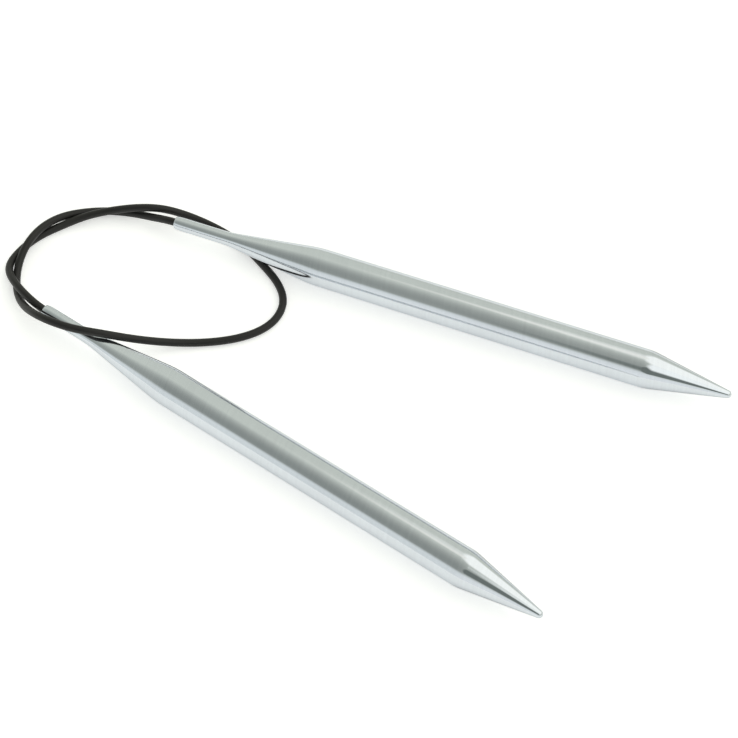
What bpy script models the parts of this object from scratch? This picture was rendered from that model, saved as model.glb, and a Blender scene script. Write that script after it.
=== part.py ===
"""Circular knitting needle: two hollow metal needles joined by one flexible plastic cord.

Row frame, in metres: +X towards the tips, +Y towards the far needle, +Z up. The origin is under the
middle of the two needles, on the surface that they lie on.
"""

from math import atan2, cos, pi, radians, sin, tan

import bmesh
import bpy
import numpy as np
from mathutils import Vector

MM = 0.001

# The needles
BARREL_RADIUS = 4.5 * MM
NEEDLE_LENGTH = 136.2 * MM
NECK_RADIUS = 1.62 * MM
MOUTH_RADIUS = 1.33 * MM
MOUTH_ROUNDING = 2.0 * MM
TAPER_START = 13.7 * MM
TAPER_END = 35.5 * MM
POINT_START = 116.7 * MM
NOSE_RADIUS = 0.95 * MM
BORE_RADIUS = 1.2 * MM
WALL = 0.6 * MM
CAVITY_END = 126.0 * MM
TAPER_FILLET = 34.0 * MM
POINT_FILLET = 14.0 * MM
OUTER_SIDES = 48
INNER_SIDES = 24
FILLET_POINTS = 5
MOUTH_STEPS = 4
NOSE_STEPS = 6
CONE_PASSES = 20
SHARP_ANGLE = radians(35)

# How the needles lie: mouths level across X, the near one further back, the tips apart
MOUTH_HALF_SPREAD = 17.97 * MM
NEAR_MOUTH_X = -74.23 * MM
FAR_MOUTH_X = -60.69 * MM
SPLAY = radians(7.15)

# The cord
CORD_RADIUS = 0.925 * MM
CORD_INSIDE = 24.0 * MM
FACE_GAP = 0.3 * MM
POINT_SPACING = 3.7 * MM
CORD_BEVEL_STEPS = 2
SAMPLES_PER_HOP = 60

# The cord's route, from the near needle's mouth to the far needle's, in millimetres. It leaves the near
# mouth, turns over itself at the left, goes under the far neck, round the right bend, over the near neck
# and round the left again to the far mouth.
ROUTE_MM = [
    (-74.23, -17.97, 4.5), (-80.1, -16.6, 4.7), (-85.4, -14.0, 3.7), (-89.5, -10.1, 2.1),
    (-90.3, -4.3, 1.05), (-88.7, 1.3, 1.0), (-85.5, 6.4, 1.3), (-81.6, 10.9, 2.1),
    (-76.8, 14.5, 3.1), (-71.7, 17.4, 4.0), (-66.4, 20.2, 3.8), (-61.0, 22.4, 2.2),
    (-55.1, 23.3, 1.05), (-49.1, 22.8, 0.95), (-43.4, 21.4, 0.95), (-37.8, 19.1, 0.95),
    (-32.4, 16.3, 0.95), (-28.3, 12.0, 0.95), (-27.6, 6.2, 0.95), (-30.2, 0.8, 0.95),
    (-34.4, -3.4, 0.95), (-39.4, -6.9, 1.0), (-44.4, -10.1, 1.7), (-49.1, -13.4, 3.5),
    (-53.6, -16.6, 5.9), (-58.7, -19.3, 7.7), (-64.3, -21.3, 8.4), (-70.2, -21.9, 8.2),
    (-75.7, -20.7, 6.2), (-80.4, -18.2, 3.3), (-84.6, -14.5, 1.2), (-87.7, -9.5, 1.4),
    (-88.8, -3.8, 3.1), (-88.5, 2.2, 3.2), (-86.7, 7.8, 2.15), (-82.9, 12.4, 1.2),
    (-77.9, 15.6, 1.0), (-72.2, 17.4, 1.5), (-66.4, 17.8, 3.0), (-60.69, 17.97, 4.5),
]

# The stretches of the cord between the mouths, each with its length along the route in millimetres.
# The last one runs to the far mouth.
STRETCHES_MM = [
    ("near_cord_swing_flex", 5.0),
    ("near_cord_lift_flex", 6.0),
    ("cord_outer_turn", 63.0),
    ("cord_right_bend", 43.0),
    ("cord_rise", 32.0),
    ("cord_crest", 14.0),
    ("cord_drop", 19.0),
    ("cord_inner_turn", 40.0),
    ("far_cord_swing_flex", 7.7),
    ("far_cord_lift_flex", None),
]

# The hinges, by their distance from the nearer mouth along the cord
SWING_NEAR = 2.4 * MM
LIFT_NEAR = 7.5 * MM
SWING_FAR = 7.5 * MM
LIFT_FAR = 2.4 * MM


def clear_scene():
    for old in list(bpy.data.objects):
        bpy.data.objects.remove(old, do_unlink=True)


def material(name, colour, roughness, metallic):
    made = bpy.data.materials.new(name)
    made.use_nodes = True
    shader = made.node_tree.nodes["Principled BSDF"]
    shader.inputs["Base Color"].default_value = (*colour, 1.0)
    shader.inputs["Roughness"].default_value = roughness
    shader.inputs["Metallic"].default_value = metallic
    return made


def arc_corner(before, corner, after, radius):
    """Points of an arc that rounds the corner between two straight runs."""
    back = (before - corner).normalized()
    ahead = (after - corner).normalized()
    half_angle = back.angle(ahead) / 2
    reach = radius / tan(half_angle)
    centre = corner + (back + ahead).normalized() * (radius / sin(half_angle))
    first = corner + back * reach - centre
    last = corner + ahead * reach - centre
    share = [i / (FILLET_POINTS - 1) for i in range(FILLET_POINTS)]
    sweep = first.angle(last)
    return [centre + (first * sin((1 - t) * sweep) + last * sin(t * sweep)) / sin(sweep) for t in share]


def needle_outline():
    """The half section of a needle's outside, as (along, radius) from the mouth to the nose."""
    nose_centre = NEEDLE_LENGTH - NOSE_RADIUS
    reach = nose_centre - POINT_START
    # The angle at which the cone from the barrel just touches the nose's sphere
    slope = atan2(BARREL_RADIUS, reach)
    for _ in range(CONE_PASSES):
        slope = atan2(BARREL_RADIUS - NOSE_RADIUS / cos(slope), reach)
    cone_end = Vector((nose_centre + NOSE_RADIUS * sin(slope), NOSE_RADIUS * cos(slope)))

    mouth = []
    for i in range(MOUTH_STEPS):
        turn = i / MOUTH_STEPS * pi / 2
        along = MOUTH_ROUNDING * (1 - cos(turn))
        mouth.append(Vector((along, MOUTH_RADIUS + (NECK_RADIUS - MOUTH_RADIUS) * sin(turn))))
    neck_start = Vector((MOUTH_ROUNDING, NECK_RADIUS))
    taper_start = Vector((TAPER_START, NECK_RADIUS))
    taper_end = Vector((TAPER_END, BARREL_RADIUS))
    point_start = Vector((POINT_START, BARREL_RADIUS))
    outline = mouth + [neck_start]
    outline += arc_corner(neck_start, taper_start, taper_end, TAPER_FILLET)
    outline += arc_corner(taper_start, taper_end, point_start, TAPER_FILLET)
    outline += arc_corner(taper_end, point_start, cone_end, POINT_FILLET)
    for i in range(NOSE_STEPS):
        turn = slope + (pi / 2 - slope) * i / NOSE_STEPS
        outline.append(Vector((nose_centre + NOSE_RADIUS * sin(turn), NOSE_RADIUS * cos(turn))))
    outline.append(Vector((NEEDLE_LENGTH, 0.0)))
    return outline


def cavity_outline():
    """The half section of a needle's inside, from its closed end back to the bore at the mouth."""
    inner_radius = BARREL_RADIUS - WALL
    return [
        Vector((CAVITY_END, 0.0)),
        Vector((POINT_START - WALL, inner_radius)),
        Vector((TAPER_END + WALL, inner_radius)),
        Vector((TAPER_START + WALL, BORE_RADIUS)),
        Vector((0.0, BORE_RADIUS)),
    ]


def add_turned(mesh, outline, sides):
    """Turns an open outline about the X axis, with one flat side straight down, and returns its first and
    last rings. The flats touch the outline's radius."""
    grow = 1 / cos(pi / sides)
    start_angle = pi / sides
    edges = []
    last = None
    for point in outline:
        radius = point.y * grow
        vert = mesh.verts.new((point.x, radius * sin(start_angle), -radius * cos(start_angle)))
        if last is not None:
            edges.append(mesh.edges.new((last, vert)))
        last = vert
    profile = list({vert for edge in edges for vert in edge.verts}) + edges
    bmesh.ops.spin(
        mesh, geom=profile, cent=(0, 0, 0), axis=(1, 0, 0), angle=2 * pi, steps=sides, use_duplicate=False
    )


def needle_mesh():
    mesh = bmesh.new()
    add_turned(mesh, needle_outline(), OUTER_SIDES)
    add_turned(mesh, cavity_outline(), INNER_SIDES)
    bmesh.ops.remove_doubles(mesh, verts=mesh.verts, dist=1e-6)
    rim = [edge for edge in mesh.edges if edge.is_boundary]
    bmesh.ops.bridge_loops(mesh, edges=rim)
    bmesh.ops.recalc_face_normals(mesh, faces=mesh.faces)
    data = bpy.data.meshes.new("needle")
    mesh.to_mesh(data)
    mesh.free()
    data.shade_smooth()
    data.set_sharp_from_angle(angle=SHARP_ANGLE)
    return data


def smooth_route():
    """A smooth line through the route's points, one point every tenth of a millimetre or so, leaving
    each mouth in line with its needle."""
    points = np.array(ROUTE_MM) * MM
    hops = np.linalg.norm(np.diff(points, axis=0), axis=1)
    count = len(points)
    system = np.zeros((count, count))
    right = np.zeros((count, 3))
    system[0, 0] = system[-1, -1] = 1.0
    right[0] = -np.array(direction(-SPLAY))
    right[-1] = direction(SPLAY)
    for i in range(1, count - 1):
        before, after = hops[i - 1], hops[i]
        system[i, i - 1 : i + 2] = 1 / before, 2 / before + 2 / after, 1 / after
        right[i] = 3 * (points[i] - points[i - 1]) / before**2 + 3 * (points[i + 1] - points[i]) / after**2
    slopes = np.linalg.solve(system, right)
    line = []
    for i, hop in enumerate(hops):
        for t in np.linspace(0, 1, SAMPLES_PER_HOP, endpoint=False):
            line.append(
                (2 * t**3 - 3 * t**2 + 1) * points[i]
                + (t**3 - 2 * t**2 + t) * hop * slopes[i]
                + (3 * t**2 - 2 * t**3) * points[i + 1]
                + (t**3 - t**2) * hop * slopes[i + 1]
            )
    line.append(points[-1])
    line = np.array(line)
    line[:, 2] = np.maximum(line[:, 2], CORD_RADIUS)
    return line


def direction(angle):
    return Vector((cos(angle), sin(angle), 0.0))


def at_distance(line, distances):
    """Points on the line at distances along it from its start."""
    along = np.concatenate([[0], np.cumsum(np.linalg.norm(np.diff(line, axis=0), axis=1))])
    return np.stack([np.interp(distances, along, line[:, axis]) for axis in range(3)], axis=1)


def tube(name, points, made_of, parent=None):
    """A length of cord along points, with flat ends."""
    curve = bpy.data.curves.new(name, "CURVE")
    curve.dimensions = "3D"
    curve.bevel_depth = CORD_RADIUS
    curve.bevel_resolution = CORD_BEVEL_STEPS
    curve.use_fill_caps = True
    spline = curve.splines.new("POLY")
    spline.points.add(len(points) - 1)
    for target, point in zip(spline.points, points):
        target.co = (*point, 1.0)
    curve.materials.append(made_of)
    made = bpy.data.objects.new(name, curve)
    bpy.context.scene.collection.objects.link(made)
    if parent is not None:
        made.parent = parent
        made.matrix_parent_inverse = parent.matrix_world.inverted()
    return made


def hinge(name, position, angle, parent=None):
    """An empty on a hinge, with its local X along the needle. Swings turn it about Z, lifts about -Y."""
    made = bpy.data.objects.new(name, None)
    bpy.context.scene.collection.objects.link(made)
    made.rotation_euler = (0, 0, angle)
    made.location = position
    bpy.context.view_layer.update()
    if parent is not None:
        made.parent = parent
        made.matrix_parent_inverse = parent.matrix_world.inverted()
    bpy.context.view_layer.update()
    return made


def needle(name, mouth, angle, parent, made_of):
    data = needle_mesh()
    data.name = name
    data.materials.append(made_of)
    made = bpy.data.objects.new(name, data)
    bpy.context.scene.collection.objects.link(made)
    made.rotation_euler = (0, 0, angle)
    made.location = mouth
    made.parent = parent
    made.matrix_parent_inverse = parent.matrix_world.inverted()
    return made


def cord_end(name, mouth, angle, parent, made_of):
    """The straight end of the cord inside a needle's neck."""
    inward = direction(angle)
    steps = np.linspace(FACE_GAP / 2, CORD_INSIDE, 3)
    return tube(name, [mouth + inward * step for step in steps], made_of, parent)


def cord_stretches(line, owners, made_of):
    """Every stretch of the cord between the mouths, a face gap apart."""
    total = float(np.sum(np.linalg.norm(np.diff(line, axis=0), axis=1)))
    start = 0.0
    for name, length in STRETCHES_MM:
        end = total if length is None else start + length * MM
        low, high = start + FACE_GAP / 2, end - FACE_GAP / 2
        steps = max(2, round((high - low) / POINT_SPACING) + 1)
        tube(name, at_distance(line, np.linspace(low, high, steps)), made_of, owners.get(name))
        start = end


def build():
    clear_scene()
    nickel = material("satin_nickel", (0.72, 0.74, 0.74), 0.28, 1.0)
    plastic = material("black_plastic", (0.022, 0.019, 0.018), 0.42, 0.0)

    line = smooth_route()
    total = float(np.sum(np.linalg.norm(np.diff(line, axis=0), axis=1)))
    near_mouth = Vector((NEAR_MOUTH_X, -MOUTH_HALF_SPREAD, BARREL_RADIUS))
    far_mouth = Vector((FAR_MOUTH_X, MOUTH_HALF_SPREAD, BARREL_RADIUS))
    stops = [LIFT_NEAR, SWING_NEAR, total - SWING_FAR, total - LIFT_FAR]
    near_lift_at, near_swing_at, far_swing_at, far_lift_at = at_distance(line, stops)

    near_lift = hinge("near_lift", near_lift_at, -SPLAY)
    near_swing = hinge("near_swing", near_swing_at, -SPLAY, near_lift)
    far_swing = hinge("far_swing", far_swing_at, SPLAY)
    far_lift = hinge("far_lift", far_lift_at, SPLAY, far_swing)

    needle("near_needle", near_mouth, -SPLAY, near_swing, nickel)
    needle("far_needle", far_mouth, SPLAY, far_lift, nickel)
    cord_end("near_cord_end", near_mouth, -SPLAY, near_swing, plastic)
    cord_end("far_cord_end", far_mouth, SPLAY, far_lift, plastic)
    owners = {
        "near_cord_swing_flex": near_swing,
        "near_cord_lift_flex": near_lift,
        "cord_crest": near_lift,
        "cord_drop": near_lift,
        "far_cord_swing_flex": far_swing,
        "far_cord_lift_flex": far_lift,
    }
    cord_stretches(line, owners, plastic)


build()
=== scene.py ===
"""The looks of a circular knitting needle: two polished nickel needles and their black plastic cord.

Everything is in the row frame, in metres: +X towards the tips, +Y towards the far needle, +Z up.
"""

from math import atan2, cos, pi, radians, sin, tan

import bmesh
import bpy
import numpy as np
from mathutils import Matrix, Vector


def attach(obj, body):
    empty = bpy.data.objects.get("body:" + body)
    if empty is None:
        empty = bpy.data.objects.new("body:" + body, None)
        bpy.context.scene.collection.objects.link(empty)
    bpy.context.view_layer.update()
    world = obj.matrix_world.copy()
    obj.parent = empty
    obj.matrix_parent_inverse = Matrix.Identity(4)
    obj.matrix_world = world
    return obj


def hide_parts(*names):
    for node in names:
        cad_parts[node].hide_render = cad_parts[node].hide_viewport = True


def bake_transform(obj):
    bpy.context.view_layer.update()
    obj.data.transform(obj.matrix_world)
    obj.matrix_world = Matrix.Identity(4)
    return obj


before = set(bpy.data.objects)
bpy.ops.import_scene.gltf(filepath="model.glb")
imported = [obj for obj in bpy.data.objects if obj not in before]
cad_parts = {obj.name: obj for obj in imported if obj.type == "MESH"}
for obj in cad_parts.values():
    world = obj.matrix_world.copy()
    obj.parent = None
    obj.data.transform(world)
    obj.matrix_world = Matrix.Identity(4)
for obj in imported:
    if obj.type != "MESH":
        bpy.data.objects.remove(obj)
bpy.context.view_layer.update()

MM = 0.001

# The camera
CAMERA_PLACE = Vector((127.46, -237.5, 419.06)) * MM
CAMERA_HEADING = radians(118.07)
CAMERA_PITCH = radians(-56.69)
CAMERA_LENS = 106.9
CAMERA_SENSOR = 36.0

# The needles' outline
BARREL_RADIUS = 4.5 * MM
NECK_RADIUS = 1.62 * MM
MOUTH_RADIUS = 1.33 * MM
MOUTH_ROUNDING = 2.0 * MM
TAPER_START = 13.7 * MM
TAPER_END = 35.5 * MM
POINT_START = 116.7 * MM
NOSE_RADIUS = 0.95 * MM
BORE_RADIUS = 1.2 * MM
BORE_LIP = 0.08 * MM
WALL = 0.6 * MM
CAVITY_END = 126.0 * MM
TAPER_FILLET = 34.0 * MM
POINT_FILLET = 14.0 * MM
NEEDLE_SIDES = 96
ARC_POINTS = 24
ROUNDING_STEPS = 10
SLOPE_PASSES = 20
NEEDLE_SHARP_ANGLE = radians(35)
SAME_PLACE = 0.0001 * MM
# How much nearer to the tip than the farthest corner a corner may be and still be on the mouth's face
MOUTH_TOLERANCE = 0.02 * MM

# The cord
CORD_RADIUS = 0.925 * MM
CORD_INSIDE = 25.5 * MM
CORD_SIDES = 20
CORD_SHARP_ANGLE = radians(60)
RING_SPACING = 0.6 * MM
SAMPLES_PER_HOP = 60
# Half the length over which the cord's direction is measured
HEADING_REACH = 0.05 * MM
# A piece length that make_cord compares each piece with, though nothing is done either way
SHORTEST_CORD = 30.0 * MM

# The cord's route between the mouths, the same points as the CAD has, in millimetres
ROUTE_MM = [
    (-74.23, -17.97, 4.5), (-80.1, -16.6, 4.7), (-85.4, -14.0, 3.7), (-89.5, -10.1, 2.1),
    (-90.3, -4.3, 1.05), (-88.7, 1.3, 1.0), (-85.5, 6.4, 1.3), (-81.6, 10.9, 2.1),
    (-76.8, 14.5, 3.1), (-71.7, 17.4, 4.0), (-66.4, 20.2, 3.8), (-61.0, 22.4, 2.2),
    (-55.1, 23.3, 1.05), (-49.1, 22.8, 0.95), (-43.4, 21.4, 0.95), (-37.8, 19.1, 0.95),
    (-32.4, 16.3, 0.95), (-28.3, 12.0, 0.95), (-27.6, 6.2, 0.95), (-30.2, 0.8, 0.95),
    (-34.4, -3.4, 0.95), (-39.4, -6.9, 1.0), (-44.4, -10.1, 1.7), (-49.1, -13.4, 3.5),
    (-53.6, -16.6, 5.9), (-58.7, -19.3, 7.7), (-64.3, -21.3, 8.4), (-70.2, -21.9, 8.2),
    (-75.7, -20.7, 6.2), (-80.4, -18.2, 3.3), (-84.6, -14.5, 1.2), (-87.7, -9.5, 1.4),
    (-88.8, -3.8, 3.1), (-88.5, 2.2, 3.2), (-86.7, 7.8, 2.15), (-82.9, 12.4, 1.2),
    (-77.9, 15.6, 1.0), (-72.2, 17.4, 1.5), (-66.4, 17.8, 3.0), (-60.69, 17.97, 4.5),
]

# Where the cord's visible pieces meet, by distance along it from the near mouth
NEAR_SWING_END = 5.0 * MM
NEAR_LIFT_END = 11.0 * MM
# The rise starts before the CAD's cord_rise does
RISE_START = 107.0 * MM
CREST_START = 149.0 * MM
INNER_START = 182.0 * MM
FAR_SWING_START = 221.0 * MM
FAR_LIFT_START = 229.5 * MM
# Where two of the pieces' turns from one body to the next would start and end, between those places; they
# are stored with the pieces but not used
NEAR_LIFT_DONE = 10.5 * MM
DROP_FROM = 164.0 * MM
DROP_TO = 181.0 * MM


# The needles' mouths and directions, from the CAD


def needle_axis(node):
    """The centre of a needle's mouth, the unit direction from there to its tip, and its length."""
    corners = [vert.co.copy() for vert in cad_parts[node].data.vertices]
    rim = min(corners, key=lambda corner: corner.x)
    tip = max(corners, key=lambda corner: (corner - rim).length)
    reach = max((corner - tip).length for corner in corners)
    face = [corner for corner in corners if (corner - tip).length > reach - MOUTH_TOLERANCE]
    mouth = sum(face, Vector()) / len(face)
    return mouth, (tip - mouth).normalized(), (tip - mouth).length


NEAR_MOUTH, NEAR_DIRECTION, NEEDLE_LENGTH = needle_axis("near_needle")
FAR_MOUTH, FAR_DIRECTION, _ = needle_axis("far_needle")


# Camera, light and floor


def make_camera():
    data = bpy.data.cameras.new("camera")
    data.lens = CAMERA_LENS
    data.sensor_width = CAMERA_SENSOR
    camera = bpy.data.objects.new("camera", data)
    bpy.context.scene.collection.objects.link(camera)
    camera.location = CAMERA_PLACE
    level = cos(CAMERA_PITCH)
    look = Vector((cos(CAMERA_HEADING) * level, sin(CAMERA_HEADING) * level, sin(CAMERA_PITCH)))
    camera.rotation_euler = look.to_track_quat("-Z", "Y").to_euler()
    bpy.context.scene.camera = camera


# The studio as the needles mirror it, each patch of light or dark given by its heading and height in
# degrees, the half angles inside which it is whole and outside which it is gone, and its brightness
BACK_WALL = (0.79, 0.82, 0.73)
STUDIO = [
    ("dim room", -124, 46, 0, 55, (0.36, 0.385, 0.355)),
    ("front sweep", -97, -55, 80, 92, (0.94, 0.98, 0.96)),
    ("front glow", -78, -8, 12, 38, (1.09, 1.11, 1.10)),
    ("photographer", -65, 46, 17, 21, (0.21, 0.235, 0.215)),
    ("right softbox", 52, 50, 27, 37, (1.40, 1.40, 1.31)),
    ("front softbox", -22, 60, 14, 23, (1.34, 1.36, 1.30)),
    ("strip light", 105, 62, 2, 9, (1.23, 1.21, 1.10)),
]


def heading(azimuth, elevation):
    level = cos(radians(elevation))
    return (cos(radians(azimuth)) * level, sin(radians(azimuth)) * level, sin(radians(elevation)))


def make_studio():
    world = bpy.data.worlds.new("studio")
    bpy.context.scene.world = world
    world.use_nodes = True
    tree = world.node_tree
    background = tree.nodes["Background"]
    toward = tree.nodes.new("ShaderNodeTexCoord").outputs["Generated"]
    colour = tree.nodes.new("ShaderNodeRGB")
    colour.outputs[0].default_value = (*BACK_WALL, 1.0)
    last = colour.outputs[0]
    for name, azimuth, elevation, whole, gone, light in STUDIO:
        nearness = tree.nodes.new("ShaderNodeVectorMath")
        nearness.operation = "DOT_PRODUCT"
        nearness.inputs[1].default_value = heading(azimuth, elevation)
        tree.links.new(toward, nearness.inputs[0])
        edge = tree.nodes.new("ShaderNodeMapRange")
        edge.inputs["From Min"].default_value = cos(radians(gone))
        edge.inputs["From Max"].default_value = cos(radians(whole))
        tree.links.new(nearness.outputs["Value"], edge.inputs["Value"])
        mix = tree.nodes.new("ShaderNodeMix")
        mix.label = name
        mix.data_type = "RGBA"
        tree.links.new(edge.outputs["Result"], mix.inputs["Factor"])
        tree.links.new(last, mix.inputs["A"])
        mix.inputs["B"].default_value = (*light, 1.0)
        last = mix.outputs["Result"]
    tree.links.new(last, background.inputs["Color"])


FLOOR_SIZE = 6.0
FLOOR_COLOUR = (0.80, 0.80, 0.795, 1.0)
GLOW_COLOUR = (1.0, 1.0, 0.995, 1.0)
FLOOR_GLOW = 0.48


def make_floor():
    mesh = bpy.data.meshes.new("floor")
    half = FLOOR_SIZE / 2
    corners = [(-half, -half, 0), (half, -half, 0), (half, half, 0), (-half, half, 0)]
    mesh.from_pydata(corners, [], [(0, 1, 2, 3)])
    floor = bpy.data.objects.new("floor", mesh)
    bpy.context.scene.collection.objects.link(floor)
    white = bpy.data.materials.new("white_sweep")
    white.use_nodes = True
    shader = white.node_tree.nodes["Principled BSDF"]
    shader.inputs["Base Color"].default_value = FLOOR_COLOUR
    shader.inputs["Roughness"].default_value = 1.0
    shader.inputs["Specular IOR Level"].default_value = 0.0
    shader.inputs["Emission Color"].default_value = GLOW_COLOUR
    shader.inputs["Emission Strength"].default_value = FLOOR_GLOW
    mesh.materials.append(white)


# Materials


class Nodes:
    """Short calls for building one material's nodes."""

    def __init__(self, name):
        self.material = bpy.data.materials.new(name)
        self.material.use_nodes = True
        self.tree = self.material.node_tree
        self.shader = self.tree.nodes["Principled BSDF"]

    def add(self, kind, settings=None, **sockets):
        node = self.tree.nodes.new("ShaderNode" + kind)
        for key, value in (settings or {}).items():
            setattr(node, key, value)
        for key, value in sockets.items():
            self.put(value, node.inputs[key.replace("_", " ")])
        return node

    def put(self, value, socket):
        if isinstance(value, bpy.types.NodeSocket):
            self.tree.links.new(value, socket)
        else:
            socket.default_value = value

    def noise(self, vector, stretch, detail=2.0, roughness=0.5):
        """Noise of the given frequency, in features a metre, along each axis."""
        scaled = self.add("VectorMath", {"operation": "MULTIPLY"})
        self.put(vector, scaled.inputs[0])
        self.put(stretch, scaled.inputs[1])
        spot = scaled.outputs[0]
        made = self.add("TexNoise", Vector=spot, Scale=1.0, Detail=detail, Roughness=roughness)
        return made.outputs[0]

    def ranged(self, value, low, high, to_low, to_high, smooth=False):
        made = self.add("MapRange", {"interpolation_type": "SMOOTHSTEP" if smooth else "LINEAR"})
        for key, number in zip(("Value", "From Min", "From Max", "To Min", "To Max"),
                               (value, low, high, to_low, to_high)):
            self.put(number, made.inputs[key])
        return made.outputs["Result"]

    def math(self, operation, first, second):
        made = self.add("Math", {"operation": operation})
        self.put(first, made.inputs[0])
        self.put(second, made.inputs[1])
        return made.outputs[0]

    def mix(self, factor, first, second):
        made = self.add("Mix", {"data_type": "RGBA"})
        self.put(factor, made.inputs["Factor"])
        self.put((*first, 1.0), made.inputs["A"])
        self.put((*second, 1.0), made.inputs["B"])
        return made.outputs["Result"]

    def bump(self, height, distance, normal=None):
        made = self.add("Bump", Height=height, Distance=distance, Strength=1.0)
        if normal is not None:
            self.put(normal, made.inputs["Normal"])
        return made.outputs["Normal"]


NICKEL_LIGHT = (0.635, 0.67, 0.71)
NICKEL_DARK = (0.60, 0.63, 0.67)
BARREL_ROUGHNESS = 0.11
POINT_ROUGHNESS = 0.05
# How much light the metal keeps where it is seen edge on: partly the metal's own edge tint, partly painted
# shade, set low so the edges darken like the shadowed floor they mirror, the point's more
BARREL_EDGE_TINT_AND_SHADE = (0.79, 0.80, 0.80)
POINT_EDGE_TINT_AND_SHADE = (0.58, 0.58, 0.57)
# How far the polishing marks lean, and how often marks and clouds come in a metre along X, Y and Z
MARK_LEAN = 0.25
FINE_MARKS = (6500, 220, 220)
BROAD_MARKS = (2100, 110, 110)
METAL_CLOUDS = (60, 90, 90)
MARK_DEPTH = 0.0016 * MM
# Nearly all of one noise lies in this span
NOISE_SPAN = (0.3, 0.7)
# The part of a sum of two noises that runs from the darkest to the lightest metal
METAL_TONE_SPAN = (0.7, 1.3)
# How much less and more than its usual roughness the metal has
GRAIN_SPAN = (0.82, 1.18)
# Where the finish changes from the barrel's to the point's
POINT_FINISH_START = POINT_START - 1.5 * MM
POINT_FINISH_END = POINT_START + 1.0 * MM


def nickel():
    """Nickel plate over cross-polished steel: fine marks round the needle, and a brighter point. The edges
    carry painted shade, darker on the point.
    """
    made = Nodes("polished_nickel")
    place = made.add("TexCoord").outputs["Object"]
    split = made.add("SeparateXYZ", Vector=place)
    along = split.outputs["X"]
    lean = made.math("MULTIPLY", split.outputs["Y"], MARK_LEAN)
    leaning = made.math("ADD", along, lean)
    marks = made.add("CombineXYZ", X=leaning, Y=split.outputs["Y"], Z=split.outputs["Z"]).outputs["Vector"]
    fine = made.noise(marks, FINE_MARKS, detail=3)
    broad = made.noise(marks, BROAD_MARKS, detail=2)
    cloud = made.noise(place, METAL_CLOUDS, detail=3)
    tone = made.ranged(made.math("ADD", broad, cloud), *METAL_TONE_SPAN, 0.0, 1.0)
    made.put(made.mix(tone, NICKEL_DARK, NICKEL_LIGHT), made.shader.inputs["Base Color"])
    on_point = made.ranged(along, POINT_FINISH_START, POINT_FINISH_END, 0.0, 1.0, smooth=True)
    polish = made.ranged(on_point, 0.0, 1.0, BARREL_ROUGHNESS, POINT_ROUGHNESS)
    # Painted shade: the edge tint darkens the metal where it is seen edge on, more on the point, as if it
    # mirrored shadowed floor
    made.put(made.mix(on_point, BARREL_EDGE_TINT_AND_SHADE, POINT_EDGE_TINT_AND_SHADE), made.shader.inputs["Specular Tint"])
    grain = made.ranged(broad, *NOISE_SPAN, *GRAIN_SPAN)
    made.put(made.math("MULTIPLY", polish, grain), made.shader.inputs["Roughness"])
    first = made.bump(fine, MARK_DEPTH)
    made.put(made.bump(broad, MARK_DEPTH, normal=first), made.shader.inputs["Normal"])
    made.shader.inputs["Metallic"].default_value = 1.0
    return made.material


CORD_DARK = (0.006, 0.0055, 0.0048)
CORD_LIGHT = (0.0125, 0.0115, 0.0105)
# The part of a sum of two noises that runs from the darkest to the lightest plastic
CORD_TONE_SPAN = (0.75, 1.25)
CORD_ROUGHNESS_SPAN = (0.40, 0.52)
CORD_SPECULAR = 0.35
# How often the cord's lines, clouds and specks come in a metre along it, and how fine they are round it
CORD_LINES = (12, 5.0, 5.0)
CORD_CLOUDS = (130, 0.8, 0.8)
CORD_SPECKS = (2400, 3.2, 3.2)
LINE_DEPTH = 0.008 * MM
SPECK_DEPTH = 0.003 * MM


def black_plastic():
    """Extruded plastic: faint lines along the cord, a soft cloudiness and a satin finish."""
    made = Nodes("black_plastic")
    flat = made.add("SeparateXYZ", Vector=made.add("UVMap", {"uv_map": "length_and_turn"}).outputs[0])
    turn = made.math("MULTIPLY", flat.outputs["Y"], 2 * pi)
    around = made.add("CombineXYZ", X=flat.outputs["X"])
    made.put(made.math("COSINE", turn, 0.0), around.inputs["Y"])
    made.put(made.math("SINE", turn, 0.0), around.inputs["Z"])
    lines = made.noise(around.outputs[0], CORD_LINES, detail=3, roughness=0.6)
    cloud = made.noise(around.outputs[0], CORD_CLOUDS, detail=3)
    speck = made.noise(around.outputs[0], CORD_SPECKS, detail=2)
    tone = made.ranged(made.math("ADD", lines, cloud), *CORD_TONE_SPAN, 0.0, 1.0)
    made.put(made.mix(tone, CORD_DARK, CORD_LIGHT), made.shader.inputs["Base Color"])
    roughness = made.ranged(cloud, *NOISE_SPAN, *CORD_ROUGHNESS_SPAN)
    made.put(roughness, made.shader.inputs["Roughness"])
    first = made.bump(lines, LINE_DEPTH)
    made.put(made.bump(speck, SPECK_DEPTH, normal=first), made.shader.inputs["Normal"])
    made.shader.inputs["Specular IOR Level"].default_value = CORD_SPECULAR
    return made.material


# The needles


def arc_corner(before, corner, after, radius):
    """Points of an arc that rounds the corner between two straight runs."""
    back = (before - corner).normalized()
    ahead = (after - corner).normalized()
    half_angle = back.angle(ahead) / 2
    reach = radius / tan(half_angle)
    centre = corner + (back + ahead).normalized() * (radius / sin(half_angle))
    first = corner + back * reach - centre
    last = corner + ahead * reach - centre
    share = [i / (ARC_POINTS - 1) for i in range(ARC_POINTS)]
    sweep = first.angle(last)
    blends = [first * sin((1 - t) * sweep) + last * sin(t * sweep) for t in share]
    return [centre + blend / sin(sweep) for blend in blends]


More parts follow.
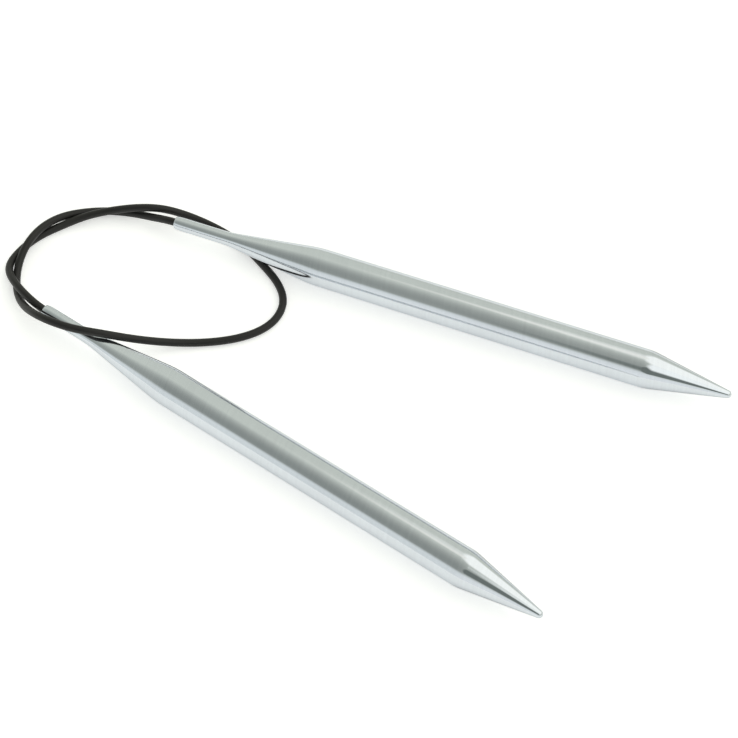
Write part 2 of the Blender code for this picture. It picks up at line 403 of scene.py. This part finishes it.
def needle_outline():
    """The half section of a needle's outside, as (along, radius) from the mouth's edge to the nose."""
    nose_centre = NEEDLE_LENGTH - NOSE_RADIUS
    reach = nose_centre - POINT_START
    # The angle at which the cone from the barrel just touches the nose's sphere
    slope = atan2(BARREL_RADIUS, reach)
    for _ in range(SLOPE_PASSES):
        slope = atan2(BARREL_RADIUS - NOSE_RADIUS / cos(slope), reach)
    cone_end = Vector((nose_centre + NOSE_RADIUS * sin(slope), NOSE_RADIUS * cos(slope)))

    outline = []
    for i in range(ROUNDING_STEPS):
        turn = i / ROUNDING_STEPS * pi / 2
        along = MOUTH_ROUNDING * (1 - cos(turn))
        outline.append(Vector((along, MOUTH_RADIUS + (NECK_RADIUS - MOUTH_RADIUS) * sin(turn))))
    neck_start = Vector((MOUTH_ROUNDING, NECK_RADIUS))
    taper_start = Vector((TAPER_START, NECK_RADIUS))
    taper_end = Vector((TAPER_END, BARREL_RADIUS))
    point_start = Vector((POINT_START, BARREL_RADIUS))
    outline.append(neck_start)
    outline += arc_corner(neck_start, taper_start, taper_end, TAPER_FILLET)
    outline += arc_corner(taper_start, taper_end, point_start, TAPER_FILLET)
    outline += arc_corner(taper_end, point_start, cone_end, POINT_FILLET)
    for i in range(ROUNDING_STEPS):
        turn = slope + (pi / 2 - slope) * i / ROUNDING_STEPS
        outline.append(Vector((nose_centre + NOSE_RADIUS * sin(turn), NOSE_RADIUS * cos(turn))))
    outline.append(Vector((NEEDLE_LENGTH, 0.0)))
    return outline


def cavity_outline():
    """The half section of a needle's inside, from its closed end back to the lip at the mouth."""
    inner_radius = BARREL_RADIUS - WALL
    return [
        Vector((CAVITY_END, 0.0)),
        Vector((POINT_START - WALL, inner_radius)),
        Vector((TAPER_END + WALL, inner_radius)),
        Vector((TAPER_START + WALL, BORE_RADIUS)),
        Vector((BORE_LIP, BORE_RADIUS)),
        Vector((0.0, BORE_RADIUS + BORE_LIP / 2)),
    ]


def turned_mesh(name, outline):
    """A closed outline, from the axis back to the axis, turned about X."""
    mesh = bmesh.new()
    profile = [mesh.verts.new((point.x, 0.0, -point.y)) for point in outline]
    profile += [mesh.edges.new(pair) for pair in zip(profile, profile[1:])]
    bmesh.ops.spin(mesh, geom=profile, axis=(1, 0, 0), angle=2 * pi, steps=NEEDLE_SIDES)
    bmesh.ops.remove_doubles(mesh, verts=mesh.verts, dist=SAME_PLACE)
    bmesh.ops.recalc_face_normals(mesh, faces=mesh.faces)
    data = bpy.data.meshes.new(name)
    mesh.to_mesh(data)
    mesh.free()
    data.shade_smooth()
    data.set_sharp_from_angle(angle=NEEDLE_SHARP_ANGLE)
    return data


def make_needle(name, node, mouth, direction, metal):
    data = turned_mesh(name, cavity_outline() + needle_outline())
    data.materials.append(metal)
    needle = bpy.data.objects.new(name, data)
    bpy.context.scene.collection.objects.link(needle)
    turn = Matrix.Rotation(atan2(direction.y, direction.x), 4, "Z")
    needle.matrix_world = Matrix.Translation(mouth) @ turn
    bpy.context.view_layer.update()
    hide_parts(node)
    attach(needle, node)


# The cord


def smooth_route():
    """A smooth line through the route's points, leaving each mouth in line with its needle."""
    points = np.array(ROUTE_MM) * MM
    hops = np.linalg.norm(np.diff(points, axis=0), axis=1)
    count = len(points)
    system = np.zeros((count, count))
    right = np.zeros((count, 3))
    system[0, 0] = system[-1, -1] = 1.0
    right[0] = -np.array(NEAR_DIRECTION)
    right[-1] = FAR_DIRECTION
    for i in range(1, count - 1):
        before, after = hops[i - 1], hops[i]
        system[i, i - 1 : i + 2] = 1 / before, 2 / before + 2 / after, 1 / after
        right[i] = 3 * (points[i] - points[i - 1]) / before**2
        right[i] += 3 * (points[i + 1] - points[i]) / after**2
    slopes = np.linalg.solve(system, right)
    line = []
    for i, hop in enumerate(hops):
        for t in np.linspace(0, 1, SAMPLES_PER_HOP, endpoint=False):
            line.append(
                (2 * t**3 - 3 * t**2 + 1) * points[i]
                + (t**3 - 2 * t**2 + t) * hop * slopes[i]
                + (3 * t**2 - 2 * t**3) * points[i + 1]
                + (t**3 - t**2) * hop * slopes[i + 1]
            )
    line.append(points[-1])
    line = np.array(line)
    line[:, 2] = np.maximum(line[:, 2], CORD_RADIUS)
    return line


class Cord:
    """The whole cord as one line of rings, from inside the near neck to inside the far one. Distances are
    measured from the near mouth, so those inside the near neck are negative."""

    def __init__(self):
        route = smooth_route()
        steps = np.linalg.norm(np.diff(route, axis=0), axis=1)
        self.length = float(steps.sum())
        near_end = route[0] + np.array(NEAR_DIRECTION) * CORD_INSIDE
        far_end = route[-1] + np.array(FAR_DIRECTION) * CORD_INSIDE
        self.line = np.vstack([near_end, route, far_end])
        self.along = np.concatenate([[-CORD_INSIDE, 0], np.cumsum(steps), [self.length + CORD_INSIDE]])

    def at(self, distance):
        return np.array([np.interp(distance, self.along, self.line[:, axis]) for axis in range(3)]).T

    def stations(self, start, end):
        return np.linspace(start, end, round((end - start) / RING_SPACING) + 1)

    def rings(self, breaks):
        """For each piece between two breaks, its distances, its centres and two unit vectors across it.
        The vectors are carried along the whole cord, so that the pieces' end rings match."""
        pieces = []
        across = np.array((0.0, 0.0, 1.0))
        for start, end in zip(breaks, breaks[1:]):
            places = self.stations(start, end)
            centres = self.at(places)
            heads = self.at(places + HEADING_REACH) - self.at(places - HEADING_REACH)
            heads /= np.linalg.norm(heads, axis=1)[:, None]
            ups = []
            for head in heads:
                across = across - head * across.dot(head)
                across /= np.linalg.norm(across)
                ups.append(across)
            ups = np.array(ups)
            pieces.append((places, centres, ups, np.cross(heads, ups)))
        return pieces


def tube_mesh(name, places, centres, ups, sides):
    """A closed round tube through the rings, with a map of length and turn."""
    turns = np.arange(CORD_SIDES) / CORD_SIDES * 2 * pi
    mesh = bmesh.new()
    rings = []
    for centre, up, side in zip(centres, ups, sides):
        spots = centre + CORD_RADIUS * (np.outer(np.cos(turns), up) + np.outer(np.sin(turns), side))
        rings.append([mesh.verts.new(spot) for spot in spots])
    layer = mesh.loops.layers.uv.new("length_and_turn")
    for i in range(len(rings) - 1):
        for j in range(CORD_SIDES):
            k = (j + 1) % CORD_SIDES
            face = mesh.faces.new((rings[i][j], rings[i][k], rings[i + 1][k], rings[i + 1][j]))
            corners = ((i, j), (i, j + 1), (i + 1, j + 1), (i + 1, j))
            for loop, (ring, turn) in zip(face.loops, corners):
                loop[layer].uv = (places[ring], turn / CORD_SIDES)
    for ring in (rings[0][::-1], rings[-1]):
        mesh.faces.new(ring)
    bmesh.ops.recalc_face_normals(mesh, faces=mesh.faces)
    data = bpy.data.meshes.new(name)
    mesh.to_mesh(data)
    mesh.free()
    data.shade_smooth()
    data.set_sharp_from_angle(angle=CORD_SHARP_ANGLE)
    return data


def make_cord():
    cord = Cord()
    # Each piece: its name, where it starts, the CAD nodes it stands for, and how it rides. A piece beside a
    # joint lists two bodies and two distances along the cord for a turn between them, which are not used:
    # it is left fixed in place, attached to no body.
    pieces = [
        ("cord_near_neck", -CORD_INSIDE, ("near_cord_end", "near_cord_swing_flex"),
         ("near_link", "near_needle", NEAR_SWING_END, 0.0)),
        ("cord_near_bend", NEAR_SWING_END, ("near_cord_lift_flex",),
         ("near_link", "cord_loop", NEAR_SWING_END, NEAR_LIFT_DONE)),
        ("cord_outer_loop", NEAR_LIFT_END, ("cord_outer_turn", "cord_right_bend"), "cord_loop"),
        ("cord_rise_over", RISE_START, ("cord_rise",), ("cord_loop", "near_link", RISE_START, CREST_START)),
        ("cord_crest_and_drop", CREST_START, ("cord_crest", "cord_drop"),
         ("near_link", "cord_loop", DROP_FROM, DROP_TO)),
        ("cord_inner_loop", INNER_START, ("cord_inner_turn",), "cord_loop"),
        ("cord_far_bend", FAR_SWING_START, ("far_cord_swing_flex",),
         ("cord_loop", "far_link", FAR_SWING_START, FAR_LIFT_START)),
        ("cord_far_neck", FAR_LIFT_START, ("far_cord_lift_flex", "far_cord_end"),
         ("far_link", "far_needle", FAR_LIFT_START, cord.length)),
    ]
    breaks = [piece[1] for piece in pieces] + [cord.length + CORD_INSIDE]
    plastic = black_plastic()
    made = {}
    for (name, _, nodes, riding), (places, centres, ups, sides) in zip(pieces, cord.rings(breaks)):
        data = tube_mesh(name, places, centres, ups, sides)
        data.materials.append(plastic)
        tube = bpy.data.objects.new(name, data)
        bpy.context.scene.collection.objects.link(tube)
        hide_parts(*nodes)
        if isinstance(riding, str):
            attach(tube, riding)
        else:
            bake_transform(tube)
        made[name] = (tube, centres, places[-1] - places[0])
    # Each piece's length is compared with SHORTEST_CORD, but nothing is done with any piece
    for name, (tube, centres, length) in made.items():
        if length < SHORTEST_CORD:
            continue


def main():
    bpy.context.scene.view_settings.view_transform = "Standard"
    make_camera()
    make_cord()
    metal = nickel()
    make_needle("near_needle_turned", "near_needle", NEAR_MOUTH, NEAR_DIRECTION, metal)
    make_needle("far_needle_turned", "far_needle", FAR_MOUTH, FAR_DIRECTION, metal)
    make_studio()
    make_floor()


main()
